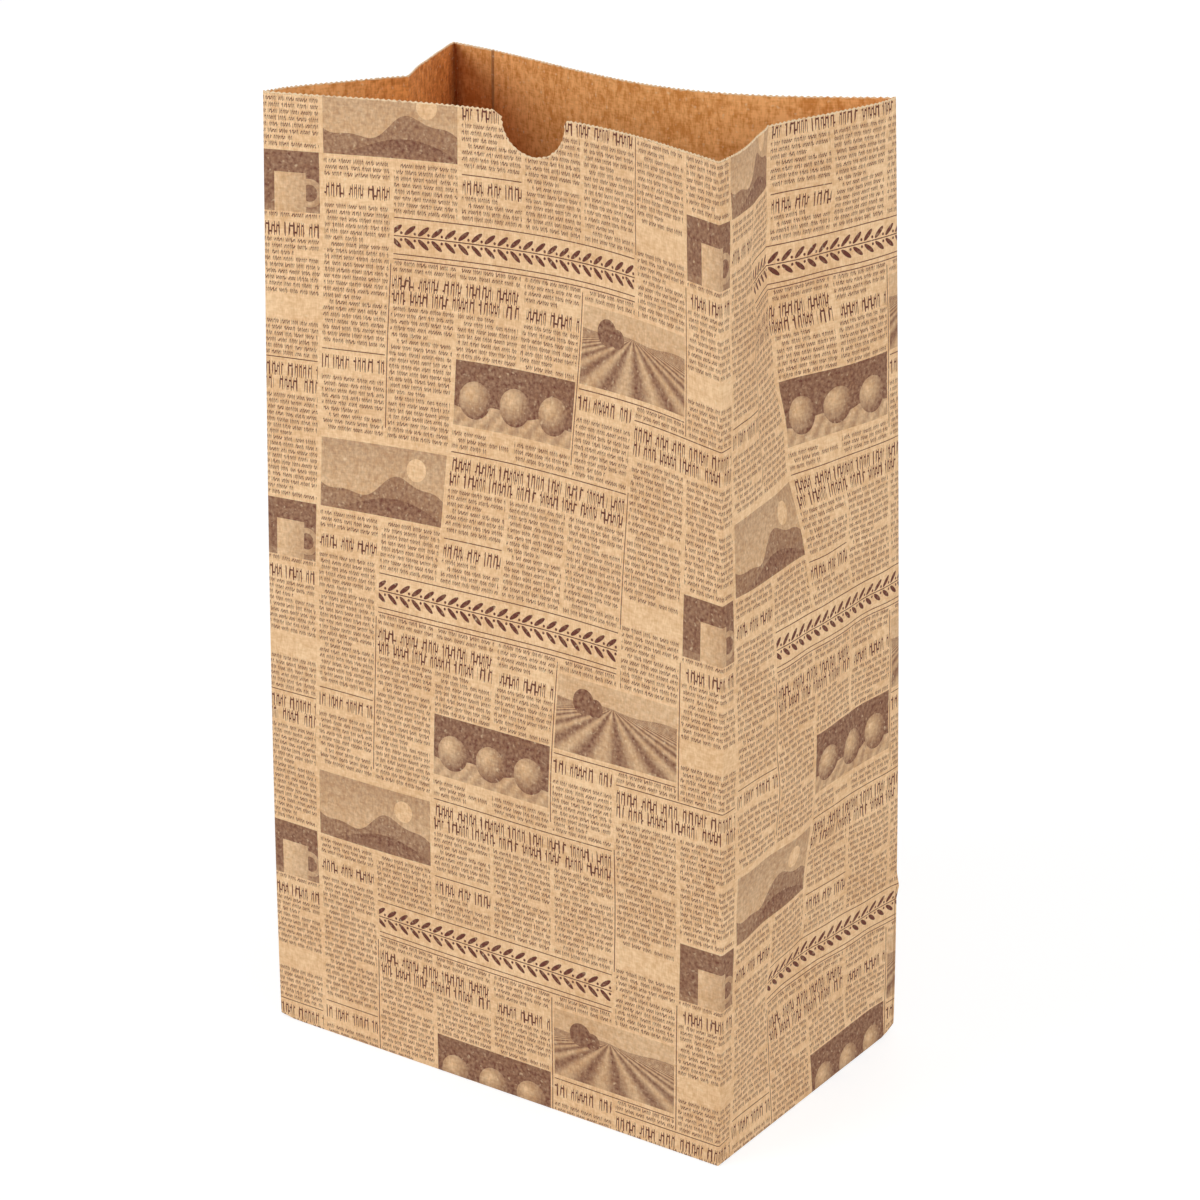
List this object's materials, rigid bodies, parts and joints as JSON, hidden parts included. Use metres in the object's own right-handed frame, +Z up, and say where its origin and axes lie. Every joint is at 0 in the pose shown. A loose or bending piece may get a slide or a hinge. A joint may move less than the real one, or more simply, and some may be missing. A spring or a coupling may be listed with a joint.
{
  "type": "paper lunch bag",
  "caption": "Open square-bottom paper bag with pinched side gussets, dished wide panels, a saw-cut mouth and a thumb notch, folded from one sheet.",
  "frame": {"origin": "centre of the bag's box at the level that its folded base stands on", "axes": "+Z up to the mouth, -Y out of the wide front panel with the thumb notch, +X out of the right gusset"},
  "size_m": [0.1604, 0.0962, 0.281],
  "materials": {
    "kraft_paper": "matt uncoated kraft, printed on the outside"
  },
  "bodies": {
    "root": {"paper_bag": "kraft_paper"}
  },
  "joints": []
}
